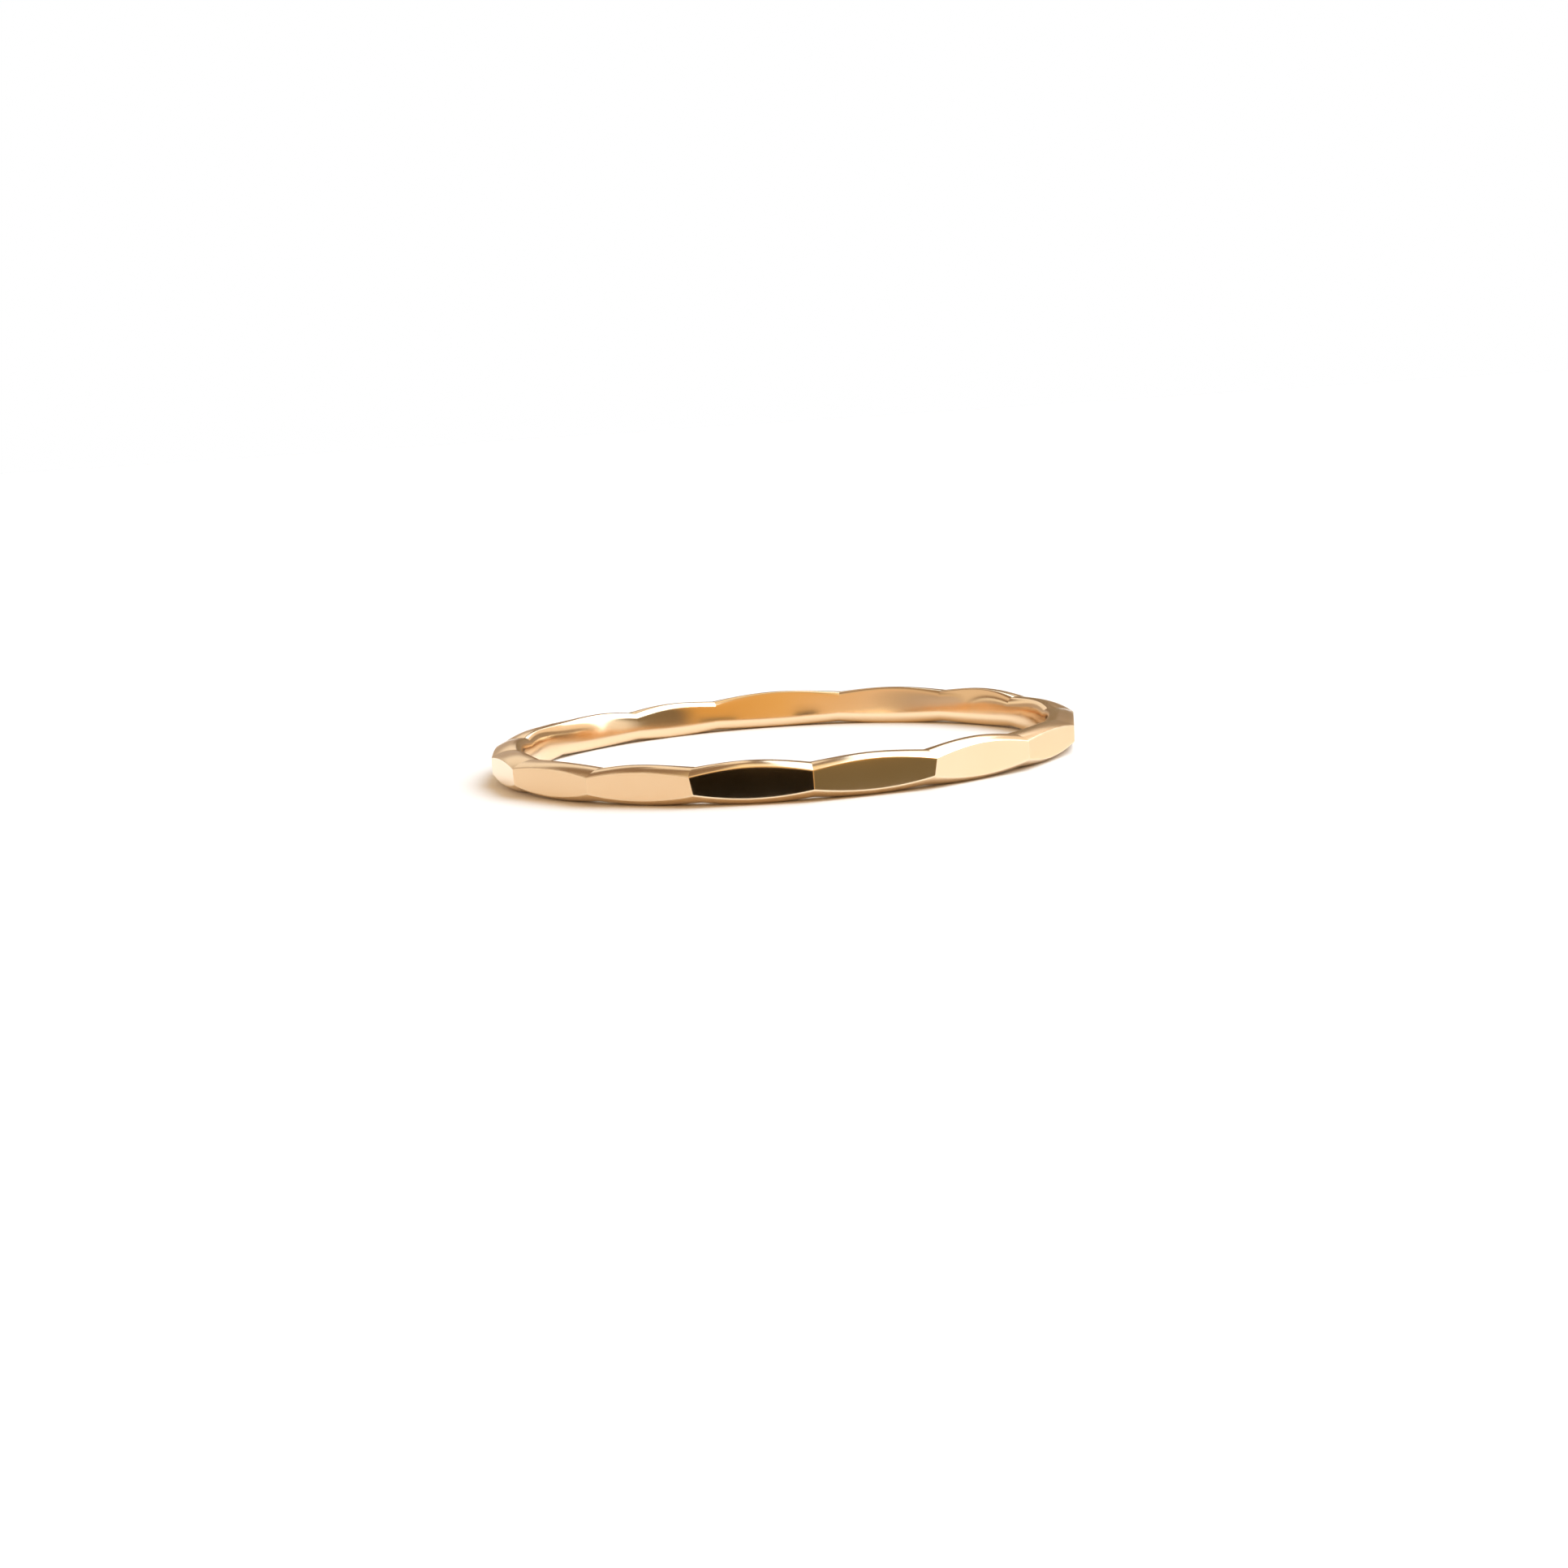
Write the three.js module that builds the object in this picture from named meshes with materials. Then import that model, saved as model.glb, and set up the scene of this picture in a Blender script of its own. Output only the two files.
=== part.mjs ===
// A thin stackable ring: one gold wire closed into a band, its inside smooth for the
// finger and its outside hammered into a row of flat, polished facets.
// Millimetres, +Z along the finger, the ring lying on z = 0 with its front at -Y.

import * as THREE from 'three';

// Sizes
const boreDiameter = 17.0;      // inside, where the finger goes
const bandThickness = 1.1;      // radial, where two facets meet
const bandWidth = 1.24;         // along the finger, in the middle of a facet
const hammerSpread = 0.2;       // how much narrower the band is where two facets meet
const landDepth = 0.03;         // dressed off the lower edge, so that the ring lies flat
const firstCorner = -61.9;      // degrees from the front towards +X

// Shape of the section
const upperWireShare = 1.2;     // thickness before the facets were cut, of bandThickness
const lowerWireShare = 1.09;    // the same below the middle, for facets struck a little high
const widestShare = 0.42;       // where the band is widest, of its thickness, from the bore
const innerSquareness = 3.6;    // 2 is a round inner wall, more is a flatter one
const shoulderSquareness = 1.7; // 2 is a round shoulder, less is a bevelled one

// The facets in their order round the ring:
// span   share of the turn, against the others
// inset  how deep the corner that it starts from is worn, share of bandThickness
// lean   degrees that its face looks up
// crown  upper half of the band in its middle, share of bandWidth / 2
// keel   lower half of the band in its middle, share of bandWidth / 2
// waist  upper half of the band at the corner that it starts from, share of that half
const facets = [
  { span: 23.3, inset: 0.000, lean: 1.0, crown: 0.88, keel: 0.97, waist: 0.96 },
  { span: 21.5, inset: 0.000, lean: 1.5, crown: 0.96, keel: 0.97, waist: 0.90 },
  { span: 21.7, inset: 0.015, lean: 6.0, crown: 1.08, keel: 1.00, waist: 1.00 },
  { span: 22.5, inset: 0.045, lean: 6.0, crown: 1.03, keel: 0.98, waist: 0.97 },
  { span: 23.3, inset: 0.005, lean: 0.5, crown: 1.10, keel: 1.00, waist: 0.98 },
  { span: 21.8, inset: 0.020, lean: 0.0, crown: 0.84, keel: 1.00, waist: 1.00 },
  { span: 21.8, inset: 0.000, lean: -0.8, crown: 0.84, keel: 0.98, waist: 0.90 },
  { span: 21.8, inset: 0.015, lean: 0.6, crown: 0.90, keel: 0.95, waist: 0.88 },
  { span: 24.1, inset: 0.000, lean: 0.0, crown: 1.12, keel: 0.92, waist: 0.98 },
  { span: 26.6, inset: 0.025, lean: -1.0, crown: 1.09, keel: 1.00, waist: 1.08 },
  { span: 29.8, inset: 0.000, lean: 0.8, crown: 1.10, keel: 0.93, waist: 1.04 },
  { span: 21.0, inset: 0.010, lean: 0.0, crown: 0.95, keel: 0.98, waist: 0.94 },
  { span: 25.1, inset: 0.000, lean: -0.6, crown: 0.98, keel: 0.92, waist: 0.86 },
  { span: 18.6, inset: 0.020, lean: 0.9, crown: 1.00, keel: 0.98, waist: 1.15 },
  { span: 18.6, inset: 0.000, lean: 0.0, crown: 0.96, keel: 0.96, waist: 1.00 },
  { span: 18.6, inset: 0.015, lean: -0.5, crown: 0.92, keel: 1.00, waist: 0.96 },
];

// How finely the surface is divided
const stepsPerFacet = 8;
const shoulderSteps = 5;
const innerSteps = 12;

const boreRadius = boreDiameter / 2;
const waistHalf = (bandWidth - hammerSpread) / 2;
const restHeight = bandWidth / 2 - landDepth;     // middle of the band above the table

// Each facet lies in a plane. Seen along the finger, facing is the angle that it looks
// to, and distance is how far it is from the axis at the middle of the band.
const wholeSpan = facets.reduce((sum, facet) => sum + facet.span, 0);
let turned = 0;
const planCorners = facets.map(({ span, inset }) => {
  const angle = THREE.MathUtils.degToRad(firstCorner + 360 * turned / wholeSpan);
  const radius = boreRadius + bandThickness * (1 - inset);
  turned += span;
  return new THREE.Vector2(Math.sin(angle), Math.cos(angle)).multiplyScalar(radius);
});
const planes = facets.map(({ lean }, i) => {
  const from = planCorners[i];
  const along = planCorners[(i + 1) % facets.length].clone().sub(from);
  const out = new THREE.Vector2(-along.y, along.x);
  if (out.dot(from) < 0) out.negate();
  out.normalize();
  return {
    out,
    facing: Math.atan2(out.x, out.y),
    distance: out.dot(from),
    slope: Math.tan(THREE.MathUtils.degToRad(lean)),
  };
});

// The angle of the ridge between facet i - 1 and facet i, at a height from the middle.
function ridgeAngle(i, height) {
  const before = planes[(i + planes.length - 1) % planes.length];
  const after = planes[i % planes.length];
  const a = before.distance - before.slope * height;
  const b = after.distance - after.slope * height;
  const across = before.out.cross(after.out);
  const x = (a * after.out.y - b * before.out.y) / across;
  const y = (b * before.out.x - a * after.out.x) / across;
  return Math.atan2(x, y);
}

function stationAngle(i, share, height) {
  const from = ridgeAngle(i, height);
  let to = ridgeAngle(i + 1, height);
  if (to < from) to += 2 * Math.PI;
  return from + (to - from) * share;
}

function flatRadius(i, share, height) {
  const { facing, distance, slope } = planes[i];
  return (distance - slope * height) / Math.cos(stationAngle(i, share, height) - facing);
}

// One closed section of the band, as radius and height from its middle: over the upper
// shoulder, down the inner wall and back under the lower shoulder to the flat.
function section(i, share) {
  const { crown, keel, waist } = facets[i];
  const nextWaist = facets[(i + 1) % facets.length].waist;
  const bulge = Math.sin(Math.PI * share);
  const upperWaist = waistHalf * THREE.MathUtils.lerp(waist, nextWaist, share);
  const upperHalf = THREE.MathUtils.lerp(upperWaist, crown * bandWidth / 2, bulge);
  const lowerHalf = THREE.MathUtils.lerp(waistHalf, keel * bandWidth / 2, bulge);
  const thickness = flatRadius(i, share, 0) - boreRadius;
  const widest = boreRadius + widestShare * thickness;

  // The shoulder's edge lies on the flat, so its height is found by halving steps.
  function shoulderPoints(half, side) {
    const power = 2 / shoulderSquareness;
    const wireShare = side > 0 ? upperWireShare : lowerWireShare;
    const shoulder = boreRadius + wireShare * bandThickness - widest;
    const turnAt = (height) => {
      const reach = (flatRadius(i, share, side * height) - widest) / shoulder;
      return Math.acos(reach ** (1 / power));
    };
    let edge = half / 2;
    for (let step = half / 4; step > half * Number.EPSILON; step /= 2) {
      edge += half * Math.sin(turnAt(edge)) ** power > edge ? step : -step;
    }
    return Array.from({ length: shoulderSteps + 1 }, (_, k) => {
      const t = THREE.MathUtils.lerp(turnAt(edge), Math.PI / 2, k / shoulderSteps);
      const out = Math.max(Math.cos(t), 0) ** power;
      return [widest + shoulder * out, side * half * Math.sin(t) ** power];
    });
  }

  const inner = Array.from({ length: innerSteps - 1 }, (_, k) => {
    const t = Math.PI / 2 + Math.PI * (k + 1) / innerSteps;
    const half = Math.sin(t) > 0 ? upperHalf : lowerHalf;
    const bow = Math.abs(Math.cos(t)) ** (2 / innerSquareness);
    const rise = Math.sign(Math.sin(t)) * Math.abs(Math.sin(t)) ** (2 / innerSquareness);
    return [widest - (widest - boreRadius) * bow, half * rise];
  });

  return [
    ...shoulderPoints(upperHalf, 1),
    ...inner,
    ...shoulderPoints(lowerHalf, -1).reverse(),
  ];
}

function bandGeometry() {
  const positions = [];
  const index = [];
  let pointsPerSection = 0;
  for (let i = 0; i < facets.length; i++) {
    for (let step = 0; step < stepsPerFacet; step++) {
      const share = step / stepsPerFacet;
      const points = section(i, share);
      pointsPerSection = points.length;
      for (const [radius, height] of points) {
        const angle = stationAngle(i, share, height);
        const z = Math.max(restHeight + height, 0);
        positions.push(radius * Math.sin(angle), -radius * Math.cos(angle), z);
      }
    }
  }
  const stations = facets.length * stepsPerFacet;
  for (let s = 0; s < stations; s++) {
    const here = s * pointsPerSection;
    const next = ((s + 1) % stations) * pointsPerSection;
    for (let p = 0; p < pointsPerSection; p++) {
      const q = (p + 1) % pointsPerSection;
      index.push(here + p, next + p, next + q, here + p, next + q, here + q);
    }
  }
  const geometry = new THREE.BufferGeometry();
  geometry.setAttribute('position', new THREE.Float32BufferAttribute(positions, 3));
  geometry.setIndex(index);
  geometry.computeVertexNormals();
  return geometry;
}

const polishedGold = new THREE.MeshStandardMaterial({
  color: 0xe9c58c,
  metalness: 1,
  roughness: 0.12,
});

const band = new THREE.Mesh(bandGeometry(), polishedGold);
band.name = 'hammered_band';

const ring = new THREE.Group();
ring.add(band);

export default ring;
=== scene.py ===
# A thin gold stacking ring with a hammered, faceted outside, lying on a white table.
import math

import bpy
from mathutils import Matrix, Vector


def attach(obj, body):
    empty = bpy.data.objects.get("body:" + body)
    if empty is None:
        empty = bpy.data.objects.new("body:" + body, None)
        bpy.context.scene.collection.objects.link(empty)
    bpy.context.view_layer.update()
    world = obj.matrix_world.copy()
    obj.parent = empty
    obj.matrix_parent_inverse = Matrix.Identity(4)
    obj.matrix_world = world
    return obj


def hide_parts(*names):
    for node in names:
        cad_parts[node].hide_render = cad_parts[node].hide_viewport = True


mm = 0.001  # the ring is described in millimetres, Blender works in metres

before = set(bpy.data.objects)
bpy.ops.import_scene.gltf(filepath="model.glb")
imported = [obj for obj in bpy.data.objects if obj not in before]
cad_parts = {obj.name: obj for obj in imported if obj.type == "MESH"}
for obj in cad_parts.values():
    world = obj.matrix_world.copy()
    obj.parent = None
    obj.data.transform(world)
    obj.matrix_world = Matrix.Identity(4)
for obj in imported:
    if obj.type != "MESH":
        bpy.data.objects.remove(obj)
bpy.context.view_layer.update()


# The ring: a gold wire closed into a band, hammered flat by flat round its outside.
ringPiece = {
    "bore": 17.0,  # inside, where the finger goes
    "thickness": 1.1,  # radial, where two facets meet
    "width": 1.24,  # along the finger, in the middle of a facet
    "spread": 0.2,  # how much narrower the band is where two facets meet
    "land": 0.03,  # dressed off the lower edge, so that the ring lies flat
    "firstCorner": -61.9,  # degrees from the front towards +X
    "upperWire": 1.2,  # thickness before the facets were cut, of the thickness above
    "lowerWire": 1.09,  # the same below the middle, for facets struck a little high
    "widestShare": 0.42,  # where the band is widest, from the bore
    "innerSquareness": 3.6,  # 2 is a round inner wall, more is a flatter one
    "shoulderSquareness": 1.7,  # 2 is a round shoulder, less is a bevelled one
    "ridgeSoftness": 0.0015,  # rounding between two facets
    "edgeSoftness": 0.022,  # rounding between a facet and its shoulder
    "rubbedWidth": 0.04,  # how far the wear reaches from an edge
    "ridgeWear": 0.4,  # wear of a ridge between two facets, against that of an edge
    "polishFade": 0.12,  # how softly the facet's polish ends at its edge
    "dome": 0.005,  # how far a facet falls from its middle to its edges
    "dent": 0.020,  # how deep the hammering shows on the inner wall
    "stepsPerFacet": 36,  # how finely the surface is divided along the band
    "flatSteps": 12,  # and across it
    "shoulderSteps": 14,
    "innerSteps": 36,
}

# One row for each facet, in order round the ring from the front left.
# span: share of the turn. inset: wear of the corner it starts from. lean: degrees it looks up.
# crown, keel: upper and lower half in its middle. waist: upper half at its corner.
# inside: degrees that the inner wall behind it looks up. satin: how much duller it is.
facetColumns = ("span", "inset", "lean", "crown", "keel", "waist", "inside", "satin")
facetRows = [
    dict(zip(facetColumns, row))
    for row in (
        (23.3, 0.000, 1.0, 0.88, 0.97, 0.96, 1.0, 0.45),
        (21.5, 0.000, 1.5, 0.96, 0.97, 0.90, 1.0, 0.44),
        (21.7, 0.015, 6.0, 1.08, 1.00, 1.00, 1.0, 0.00),
        (22.5, 0.045, 6.0, 1.03, 0.98, 0.97, 0.0, 0.00),
        (23.3, 0.005, 0.5, 1.10, 1.00, 0.98, 1.0, 0.03),
        (21.8, 0.020, 0.0, 0.84, 1.00, 1.00, 3.0, 0.45),
        (21.8, 0.000, -0.8, 0.84, 0.98, 0.90, 4.0, 0.04),
        (21.8, 0.015, 0.6, 0.90, 0.95, 0.88, 4.0, 0.10),
        (24.1, 0.000, 0.0, 1.12, 0.92, 0.98, 5.0, 0.00),
        (26.6, 0.025, -1.0, 1.09, 1.00, 1.08, 6.0, 0.06),
        (29.8, 0.000, 0.8, 1.10, 0.93, 1.04, 7.5, 0.00),
        (21.0, 0.010, 0.0, 0.95, 0.98, 0.94, 6.5, 0.12),
        (25.1, 0.000, -0.6, 0.98, 0.92, 0.86, 6.0, 0.02),
        (18.6, 0.020, 0.9, 1.00, 0.98, 1.15, 3.0, 0.05),
        (18.6, 0.000, 0.0, 0.96, 0.96, 1.00, 3.0, 0.00),
        (18.6, 0.015, -0.5, 0.92, 1.00, 0.96, 2.0, 0.10),
    )
]
facetCount = len(facetRows)
boreRadius = ringPiece["bore"] / 2
waistHalf = (ringPiece["width"] - ringPiece["spread"]) / 2
restHeight = ringPiece["width"] / 2 - ringPiece["land"]


def mix(a, b, share):
    return a + (b - a) * share


def softMin(a, b, width):  # the smaller, rounded off where the two are close
    near = max(width - abs(a - b), 0) / width
    return min(a, b) - near * near * width / 4


def facetPlanes():
    wholeSpan = sum(row["span"] for row in facetRows)
    turned = 0
    corners = []
    for row in facetRows:
        angle = math.radians(ringPiece["firstCorner"] + 360 * turned / wholeSpan)
        radius = boreRadius + ringPiece["thickness"] * (1 - row["inset"])
        corners.append(Vector((math.sin(angle), math.cos(angle))) * radius)
        turned += row["span"]
    planes = []
    for i, row in enumerate(facetRows):
        along = corners[(i + 1) % facetCount] - corners[i]
        out = Vector((-along.y, along.x)).normalized()
        if out.dot(corners[i]) < 0:
            out = -out
        planes.append({
            "out": out,
            "facing": math.atan2(out.x, out.y),
            "distance": out.dot(corners[i]),
            "slope": math.tan(math.radians(row["lean"])),
            "length": along.length,
        })
    return planes


planes = facetPlanes()


def ridgeAngle(i, height):  # where facet i meets the one before it, at a height from the middle
    before = planes[(i - 1) % facetCount]
    after = planes[i % facetCount]
    a = before["distance"] - before["slope"] * height
    b = after["distance"] - after["slope"] * height
    across = before["out"].x * after["out"].y - before["out"].y * after["out"].x
    x = (a * after["out"].y - b * before["out"].y) / across
    y = (b * before["out"].x - a * after["out"].x) / across
    return math.atan2(x, y)


def stationAngle(i, share, height):
    start = ridgeAngle(i, height)
    end = ridgeAngle(i + 1, height)
    if end < start:
        end += 2 * math.pi
    return mix(start, end, share)


def planeRadius(i, angle, height):
    plane = planes[i % facetCount]
    turn = math.cos(angle - plane["facing"])
    if turn < 0.3:  # this facet looks elsewhere and cuts nothing here
        return 2 * boreRadius
    return (plane["distance"] - plane["slope"] * height) / turn


def flatRadius(i, share, height):  # the facet itself, a little domed and soft at its ridges
    angle = stationAngle(i, share, height)
    own = planeRadius(i, angle, height)
    soft = ringPiece["ridgeSoftness"]
    radius = softMin(own, planeRadius(i - 1, angle, height), soft)
    radius = softMin(radius, planeRadius(i + 1, angle, height), soft)
    away = (2 * share - 1) ** 2 + (height / waistHalf) ** 2  # 2 at the facet's corners
    return radius - ringPiece["dome"] * min(away, 2.0)


def insideLean(i, share):  # eased from one facet's inner wall to the next
    other = facetRows[(i - 1 if share < 0.5 else i + 1) % facetCount]
    weight = 0.5 + 0.5 * math.sin(math.pi * min(share, 1 - share))
    lean = mix(other["inside"], facetRows[i]["inside"], weight)
    return math.tan(math.radians(lean))


def sectionPoints(i, share):
    row = facetRows[i]
    nextWaist = facetRows[(i + 1) % facetCount]["waist"]
    bulge = math.sin(math.pi * share)
    upperWaist = waistHalf * mix(row["waist"], nextWaist, share)
    upperHalf = mix(upperWaist, row["crown"] * ringPiece["width"] / 2, bulge)
    lowerHalf = mix(waistHalf, row["keel"] * ringPiece["width"] / 2, bulge)
    thickness = planeRadius(i, stationAngle(i, share, 0), 0) - boreRadius
    widest = boreRadius + ringPiece["widestShare"] * thickness
    power = 2 / ringPiece["shoulderSquareness"]
    quarter = math.pi / 2
    flatSteps = ringPiece["flatSteps"]
    shoulderSteps = ringPiece["shoulderSteps"]
    innerSteps = ringPiece["innerSteps"]
    toRidge = min(share, 1 - share) * planes[i]["length"]
    ridgeRub = math.exp(-(toRidge / ringPiece["rubbedWidth"]) ** 2)

    def outerHalf(half, side):  # from the middle of the facet over one shoulder
        wire = ringPiece["upperWire"] if side > 0 else ringPiece["lowerWire"]
        shoulder = boreRadius + wire * ringPiece["thickness"] - widest
        edge = half / 2
        step = half / 4
        while step > half * 1e-6:  # the height where the flat meets the shoulder
            reach = (flatRadius(i, share, side * edge) - widest) / shoulder
            rise = half * math.sin(math.acos(min(reach, 1) ** (1 / power))) ** power
            edge += step if rise > edge else -step
            step /= 2
        turn = math.asin(min(edge / half, 1) ** (1 / power))
        turns = [turn * math.sin(quarter * k / flatSteps) for k in range(flatSteps)]
        for k in range(shoulderSteps + 1):
            turns.append(turn + (quarter - turn) * (1 - math.cos(quarter * k / shoulderSteps)))
        points = []
        for t in turns:
            height = side * half * math.sin(t) ** power
            radius = widest + shoulder * max(math.cos(t), 0) ** power
            flat = flatRadius(i, share, height)
            onFlat = 1 - min(max((t - turn) / ringPiece["polishFade"] + 0.5, 0), 1)
            rub = math.exp(-((abs(height) - edge) / ringPiece["rubbedWidth"]) ** 2)
            rub = max(rub, ringPiece["ridgeWear"] * ridgeRub * onFlat)
            points.append((softMin(radius, flat, ringPiece["edgeSoftness"]), height, onFlat, rub))
        return points

    innerPoints = []
    dent = ringPiece["dent"] * (0.5 - 0.5 * math.cos(2 * math.pi * share))
    lean = insideLean(i, share)
    for k in range(1, innerSteps):
        t = quarter + math.pi * k / innerSteps
        half = upperHalf if math.sin(t) > 0 else lowerHalf
        bow = abs(math.cos(t)) ** (2 / ringPiece["innerSquareness"])
        rise = math.copysign(abs(math.sin(t)) ** (2 / ringPiece["innerSquareness"]), math.sin(t))
        radius = widest - (widest - boreRadius) * bow
        innerPoints.append((radius + (lean * half * rise + dent) * bow, half * rise, 0.0, 0.0))
    return outerHalf(upperHalf, 1) + innerPoints + outerHalf(lowerHalf, -1)[:0:-1]


def buildRing():
    vertices = []
    polish = []
    rubbed = []
    dulness = []
    perSection = 0
    for i in range(facetCount):
        for step in range(ringPiece["stepsPerFacet"]):
            share = 0.5 - 0.5 * math.cos(math.pi * step / ringPiece["stepsPerFacet"])
            points = sectionPoints(i, share)
            perSection = len(points)
            for radius, height, onFlat, rub in points:
                angle = stationAngle(i, share, height)
                z = max(restHeight + height, 0)
                vertices.append((radius * math.sin(angle) * mm, -radius * math.cos(angle) * mm, z * mm))
                polish.append(onFlat)
                rubbed.append(rub)
                dulness.append(facetRows[i]["satin"])
    sections = facetCount * ringPiece["stepsPerFacet"]
    faces = []
    for s in range(sections):
        here = s * perSection
        there = (s + 1) % sections * perSection
        for p in range(perSection):
            q = (p + 1) % perSection
            faces.append((here + p, there + p, there + q, here + q))
    mesh = bpy.data.meshes.new("hammeredRing")
    mesh.from_pydata(vertices, [], faces)
    mesh.shade_smooth()
    for name, values in (("onFlat", polish), ("rubbed", rubbed), ("satin", dulness)):
        attribute = mesh.attributes.new(name, "FLOAT", "POINT")
        attribute.data.foreach_set("value", values)
    mesh.update()
    ring = bpy.data.objects.new("hammered_ring", mesh)
    bpy.context.scene.collection.objects.link(ring)
    return ring


# Three helpers for the node trees of the gold and of the room.
def feed(tree, value, entry):  # an output is linked, a number or a colour is set
    if isinstance(value, bpy.types.NodeSocket):
        tree.links.new(value, entry)
    else:
        entry.default_value = value


def calculate(tree, operation, *values):
    node = tree.nodes.new("ShaderNodeMath")
    node.operation = operation
    for value, entry in zip(values, node.inputs):
        feed(tree, value, entry)
    return node.outputs["Value"]


def blend(tree, first, second, share):
    node = tree.nodes.new("ShaderNodeMix")
    node.data_type = "RGBA"
    feed(tree, share, node.inputs["Factor"])
    feed(tree, first, node.inputs["A"])
    feed(tree, second, node.inputs["B"])
    return node.outputs["Result"]


goldFinish = {
    "colour": (0.92, 0.68, 0.42),  # yellow gold, linear
    "rubbedColour": (0.97, 0.77, 0.53),  # where it is rubbed paler
    "wornColour": (0.98, 0.83, 0.62),  # along the edges
    "facetRoughness": 0.045,
    "edgeRoughness": 0.12,  # on the shoulders and the inner wall
    "smearRoughness": 0.05,  # added by handling
    "wornRoughness": 0.15,  # added along the edges
    "cloudScale": 260,  # slow change of tone from place to place
    "nickScale": 2600,  # the edges are rubbed unevenly
    "waveScale": 900,  # the facets are hammered, not ground
    "waveStrength": 0.5,
    "waveDepth": 0.004,  # millimetres
    "hairScale": (3000, 3000, 30000),  # hair scratches from wear
    "hairTurn": (0.35, 0.2, 0),
    "hairStrength": 0.15,
    "hairDepth": 0.0006,
}


def polishedGold():
    material = bpy.data.materials.new("polishedGold")
    material.use_nodes = True
    tree = material.node_tree
    shader = tree.nodes["Principled BSDF"]
    shader.inputs["Metallic"].default_value = 1.0
    place = tree.nodes.new("ShaderNodeTexCoord").outputs["Object"]

    def mark(name):  # what buildRing noted on the points
        node = tree.nodes.new("ShaderNodeAttribute")
        node.attribute_name = name
        return node.outputs["Fac"]

    def noise(where, scale, detail):
        node = tree.nodes.new("ShaderNodeTexNoise")
        node.inputs["Scale"].default_value = scale
        node.inputs["Detail"].default_value = detail
        feed(tree, where, node.inputs["Vector"])
        return node.outputs["Fac"]

    def bump(height, strength, depth):
        node = tree.nodes.new("ShaderNodeBump")
        node.inputs["Strength"].default_value = strength
        node.inputs["Distance"].default_value = depth * mm
        feed(tree, height, node.inputs["Height"])
        return node

    cloud = noise(place, goldFinish["cloudScale"], 4)
    nicks = noise(place, goldFinish["nickScale"], 2)
    wear = calculate(tree, "MULTIPLY", mark("rubbed"), nicks)
    tone = blend(tree, (*goldFinish["colour"], 1), (*goldFinish["rubbedColour"], 1), cloud)
    worn = blend(tree, tone, (*goldFinish["wornColour"], 1), wear)
    feed(tree, worn, shader.inputs["Base Color"])

    edge = goldFinish["edgeRoughness"]
    facet = calculate(tree, "ADD", mark("satin"), goldFinish["facetRoughness"])
    smoother = calculate(tree, "SUBTRACT", facet, edge)
    gloss = calculate(tree, "MULTIPLY_ADD", mark("onFlat"), smoother, edge)
    smear = calculate(tree, "MULTIPLY_ADD", cloud, goldFinish["smearRoughness"], gloss)
    scuffed = calculate(tree, "MULTIPLY_ADD", wear, goldFinish["wornRoughness"], smear)
    feed(tree, scuffed, shader.inputs["Roughness"])

    waves = noise(place, goldFinish["waveScale"], 1)
    swell = bump(waves, goldFinish["waveStrength"], goldFinish["waveDepth"])
    stretch = tree.nodes.new("ShaderNodeMapping")
    stretch.inputs["Scale"].default_value = goldFinish["hairScale"]
    stretch.inputs["Rotation"].default_value = goldFinish["hairTurn"]
    feed(tree, place, stretch.inputs["Vector"])
    hairs = noise(stretch.outputs["Vector"], 1.0, 3)
    scratch = bump(hairs, goldFinish["hairStrength"], goldFinish["hairDepth"])
    feed(tree, swell.outputs["Normal"], scratch.inputs["Normal"])
    feed(tree, scratch.outputs["Normal"], shader.inputs["Normal"])
    return material


ring = buildRing()
ring.data.materials.append(polishedGold())
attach(ring, "root")
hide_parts("hammered_band")
print("ring built,", len(ring.data.polygons), "faces")


# The table: a wide white sheet.
tableTop = {"metres": 12, "colour": (0.92, 0.94, 0.97), "roughness": 0.6}


def buildTable():
    half = tableTop["metres"] / 2
    mesh = bpy.data.meshes.new("table")
    corners = [(-half, -half, 0), (half, -half, 0), (half, half, 0), (-half, half, 0)]
    mesh.from_pydata(corners, [], [(0, 1, 2, 3)])
    table = bpy.data.objects.new("table", mesh)
    bpy.context.scene.collection.objects.link(table)
    material = bpy.data.materials.new("whitePaper")
    material.use_nodes = True
    shader = material.node_tree.nodes["Principled BSDF"]
    shader.inputs["Base Color"].default_value = (*tableTop["colour"], 1)
    shader.inputs["Roughness"].default_value = tableTop["roughness"]
    shader.inputs["Specular IOR Level"].default_value = 0.0
    mesh.materials.append(material)


# Cards in front of the ring for the polished gold to mirror. They show only in reflections.
# way: degrees from the front towards +X. far, wide, foot, high: millimetres. glow: linear colour.
cardRows = {
    "blackCard": {
        "way": -12.0, "far": 150, "wide": 28, "foot": 0.5, "high": 19,
        "glow": (0.006, 0.004, 0.002),
    },
    "brownCard": {
        "way": 31, "far": 150, "wide": 38, "foot": 0.5, "high": 16,
        "glow": (0.19, 0.145, 0.075),
    },
}


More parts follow.
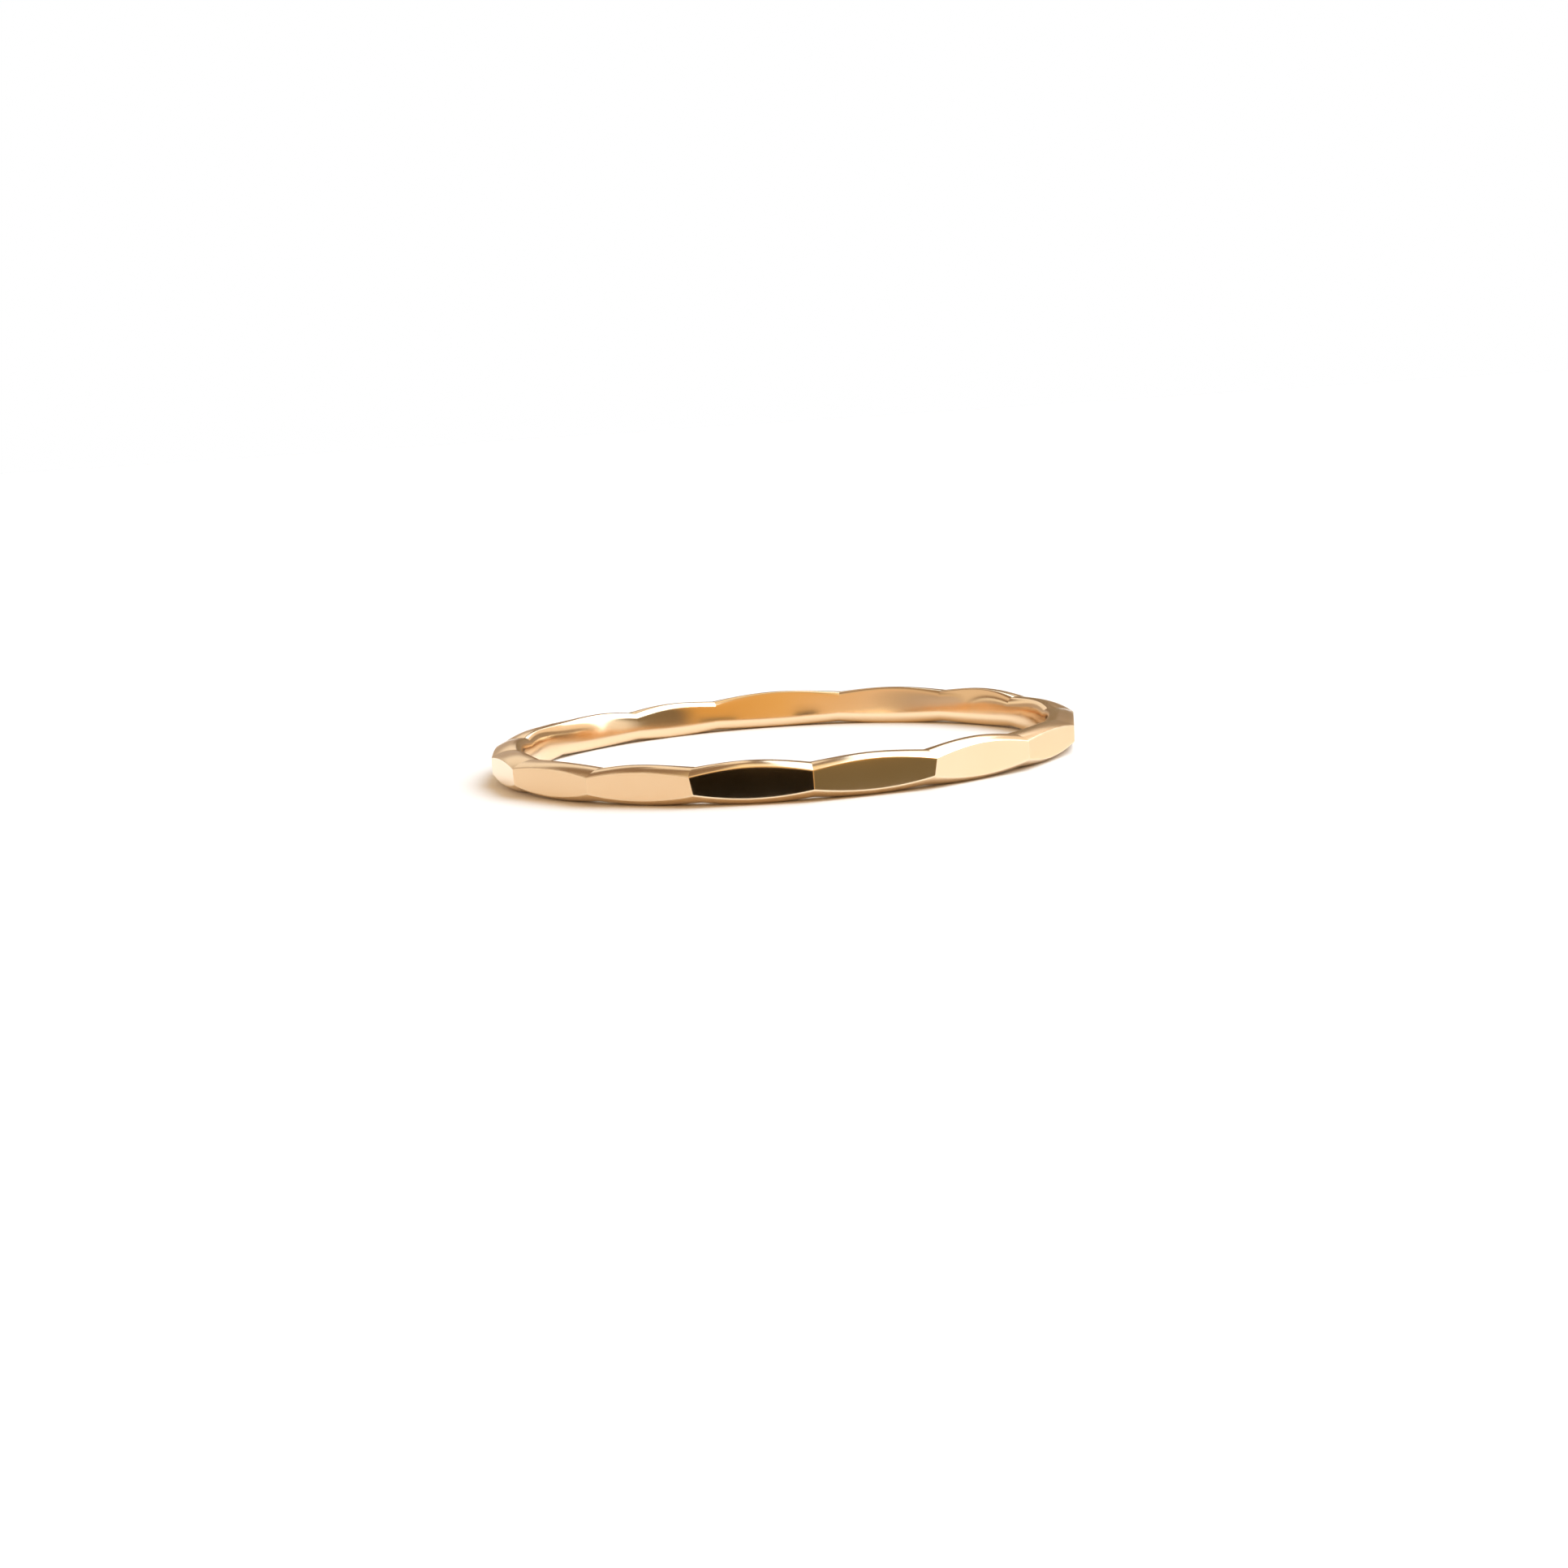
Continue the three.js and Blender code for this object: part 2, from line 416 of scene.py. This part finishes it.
def buildCard(name):
    row = cardRows[name]
    way = math.radians(row["way"])
    middle = Vector((math.sin(way), -math.cos(way), 0)) * row["far"] * mm
    side = Vector((math.cos(way), math.sin(way), 0)) * row["wide"] / 2 * mm
    top = Vector((0, 0, row["high"] * mm))
    foot = Vector((0, 0, row["foot"] * mm))
    mesh = bpy.data.meshes.new(name)
    corners = (middle - side + foot, middle + side + foot, middle + side + top, middle - side + top)
    mesh.from_pydata([tuple(c) for c in corners], [], [(0, 1, 2, 3)])
    card = bpy.data.objects.new(name, mesh)
    bpy.context.scene.collection.objects.link(card)
    material = bpy.data.materials.new(name)
    material.use_nodes = True
    nodes = material.node_tree.nodes
    nodes.remove(nodes["Principled BSDF"])
    glow = nodes.new("ShaderNodeEmission")
    glow.inputs["Color"].default_value = (*row["glow"], 1)
    material.node_tree.links.new(glow.outputs["Emission"], nodes["Material Output"].inputs["Surface"])
    mesh.materials.append(material)
    card.visible_camera = False
    card.visible_diffuse = False
    card.visible_shadow = False


# The light: a wide soft source over the right side, uniform across the table.
softLight = {"way": 82, "height": 54, "spread": 48, "strength": 1.3, "colour": (0.84, 1.0, 1.12)}


def buildSoftLight():
    data = bpy.data.lights.new("softLight", "SUN")
    data.energy = softLight["strength"]
    data.angle = math.radians(softLight["spread"])
    data.color = softLight["colour"]
    light = bpy.data.objects.new("softLight", data)
    way = math.radians(softLight["way"])
    height = math.radians(softLight["height"])
    level = Vector((math.sin(way), -math.cos(way), 0)) * math.cos(height)
    source = level + Vector((0, 0, math.sin(height)))
    light.rotation_euler = source.to_track_quat("Z", "Y").to_euler()
    bpy.context.scene.collection.objects.link(light)


# The room round the table, in linear colours. It has a front wall, from the left (-1) to the
# right (1), and ceiling strips that fan out from the back, each from the front (0) overhead
# (0.5) to the back (1). A strip starts where "from" says, from left to right.
room = {
    "frontWall": (
        (-1.00, (0.64, 0.51, 0.42)),
        (-0.90, (0.54, 0.42, 0.33)),
        (-0.80, (0.62, 0.46, 0.32)),
        (-0.60, (0.82, 0.58, 0.38)),
        (-0.34, (0.85, 0.56, 0.30)),
        (0.00, (0.84, 0.50, 0.18)),
        (0.60, (0.76, 0.41, 0.11)),
        (0.74, (0.22, 0.15, 0.08)),
        (0.93, (0.24, 0.17, 0.09)),
        (0.97, (1.00, 0.92, 0.82)),
    ),
    "wallTop": (0.41, 0.46),
    "wideOverhead": 1.1,  # how wide the strips are at fanStart
    "fanStart": 0.48,
    "narrowing": 3.0,  # how fast they narrow from there
    "narrowest": 0.1,
    "ceiling": (
        {"from": -9.00, "row": (
            (0.50, (0.85, 0.68, 0.50)),
            (0.74, (0.80, 0.62, 0.45)),
            (0.77, (0.30, 0.20, 0.12)),
            (0.835, (0.28, 0.18, 0.11)),
            (0.85, (0.98, 0.86, 0.70)),
            (0.90, (0.98, 0.86, 0.70)),
            (0.92, (0.50, 0.38, 0.28)),
        )},
        {"from": -1.00, "row": (
            (0.50, (0.70, 0.53, 0.36)),
            (0.62, (0.34, 0.23, 0.14)),
            (0.78, (0.28, 0.18, 0.11)),
            (0.80, (1.05, 0.92, 0.76)),
            (0.89, (1.05, 0.92, 0.76)),
            (0.93, (0.30, 0.20, 0.12)),
        )},
        {"from": -0.29, "row": (
            (0.55, (1.30, 1.08, 0.72)),
            (0.72, (1.15, 0.95, 0.62)),
            (0.76, (0.30, 0.20, 0.12)),
            (0.90, (0.24, 0.16, 0.09)),
        )},
        {"from": -0.12, "row": (
            (0.45, (0.50, 0.34, 0.18)),
            (0.60, (1.05, 0.86, 0.56)),
            (0.71, (1.05, 0.86, 0.56)),
            (0.75, (0.24, 0.16, 0.09)),
            (0.90, (0.24, 0.16, 0.09)),
        )},
        {"from": 0.13, "row": (
            (0.33, (2.00, 2.20, 2.40)),
            (0.84, (2.00, 2.20, 2.40)),
            (0.86, (0.26, 0.18, 0.10)),
            (0.95, (0.30, 0.21, 0.12)),
        )},
        {"from": 1.30, "row": (
            (0.33, (2.00, 2.20, 2.40)),
            (0.85, (2.00, 2.20, 2.40)),
            (0.865, (1.00, 0.78, 0.58)),
            (0.885, (0.95, 0.74, 0.54)),
            (0.905, (0.34, 0.24, 0.15)),
        )},
        {"from": 2.60, "row": (
            (0.70, (1.05, 0.84, 0.64)),
            (0.885, (0.95, 0.74, 0.54)),
            (0.905, (0.34, 0.24, 0.15)),
            (0.95, (0.38, 0.28, 0.19)),
        )},
    ),
    "edge": 0.03,  # how soft the sides of the strips are
    "seen": (1.0, 1.0, 1.0),  # the white sheet goes on behind the table
}


def buildRoom():
    world = bpy.data.worlds.new("paleRoom")
    world.use_nodes = True
    tree = world.node_tree

    def between(source, low, high):  # 0 at low, 1 at high
        node = tree.nodes.new("ShaderNodeMapRange")
        node.inputs["From Min"].default_value = low
        node.inputs["From Max"].default_value = high
        feed(tree, source, node.inputs["Value"])
        return node.outputs["Result"]

    def colourRow(row, source):
        ramp = tree.nodes.new("ShaderNodeValToRGB")
        stops = ramp.color_ramp.elements
        while len(stops) < len(row):
            stops.new(0.5)
        for stop, (position, colour) in zip(stops, row):
            stop.position = position
            stop.color = (*colour, 1)
        feed(tree, source, ramp.inputs["Fac"])
        return ramp.outputs["Color"]

    place = tree.nodes.new("ShaderNodeTexCoord")
    parts = tree.nodes.new("ShaderNodeSeparateXYZ")
    feed(tree, place.outputs["Generated"], parts.inputs["Vector"])
    side = parts.outputs["X"]
    height = calculate(tree, "MAXIMUM", parts.outputs["Z"], 0.0)
    towardsFront = calculate(tree, "MULTIPLY", parts.outputs["Y"], -1.0)
    angle = calculate(tree, "ARCTAN2", height, towardsFront)
    over = calculate(tree, "DIVIDE", angle, math.pi)

    past = calculate(tree, "SUBTRACT", over, room["fanStart"])
    narrowed = calculate(tree, "MULTIPLY", past, room["narrowing"])
    spread = calculate(tree, "SUBTRACT", room["wideOverhead"], narrowed)
    spread = calculate(tree, "MAXIMUM", spread, room["narrowest"])
    fanned = calculate(tree, "DIVIDE", side, spread)
    ceiling = None
    for strip in room["ceiling"]:
        colour = colourRow(strip["row"], over)
        edge = between(fanned, strip["from"] - room["edge"], strip["from"] + room["edge"])
        ceiling = blend(tree, ceiling, colour, edge) if ceiling else colour
    wallRow = [((position + 1) / 2, colour) for position, colour in room["frontWall"]]
    wall = colourRow(wallRow, between(side, -1, 1))
    whole = blend(tree, wall, ceiling, between(over, *room["wallTop"]))
    path = tree.nodes.new("ShaderNodeLightPath")
    shown = blend(tree, whole, (*room["seen"], 1), path.outputs["Is Camera Ray"])
    feed(tree, shown, tree.nodes["Background"].inputs["Color"])
    bpy.context.scene.world = world


buildTable()
for name in cardRows:
    buildCard(name)
buildSoftLight()
buildRoom()
bpy.context.scene.view_settings.view_transform = "Standard"
print("table, cards and light placed")


# The camera looks at the front of the ring from a little above its plane.
cameraPlace = {
    "distance": 80.23,  # millimetres from the middle of the ring
    "height": 7.48,  # degrees above the ring's plane
    "roll": 3.79,  # degrees that the picture leans
    "lens": 56.2,
    "middle": (967.3, 913.3),  # where the middle of the ring is in the picture
    "picture": 1932,
    "sensor": 36.0,
}


def buildCamera():
    data = bpy.data.cameras.new("camera")
    data.sensor_width = cameraPlace["sensor"]
    data.lens = cameraPlace["lens"]
    data.clip_start = 0.002
    data.clip_end = 10
    height = math.radians(cameraPlace["height"])
    back = Vector((0, -math.cos(height), math.sin(height)))
    target = Vector((0, 0, restHeight * mm))
    camera = bpy.data.objects.new("camera", data)
    pixels = cameraPlace["lens"] / cameraPlace["sensor"] * cameraPlace["picture"]
    x, y = (v - cameraPlace["picture"] / 2 for v in cameraPlace["middle"])
    turn = back.to_track_quat("Z", "Y").to_matrix().to_4x4()
    turn = turn @ Matrix.Rotation(-math.radians(cameraPlace["roll"]), 4, "Z")
    turn = turn @ Matrix.Rotation(math.atan(x / pixels), 4, "Y")
    turn = turn @ Matrix.Rotation(math.atan(y / pixels), 4, "X")
    camera.matrix_world = Matrix.Translation(target + back * cameraPlace["distance"] * mm) @ turn
    bpy.context.scene.collection.objects.link(camera)
    bpy.context.scene.camera = camera


buildCamera()
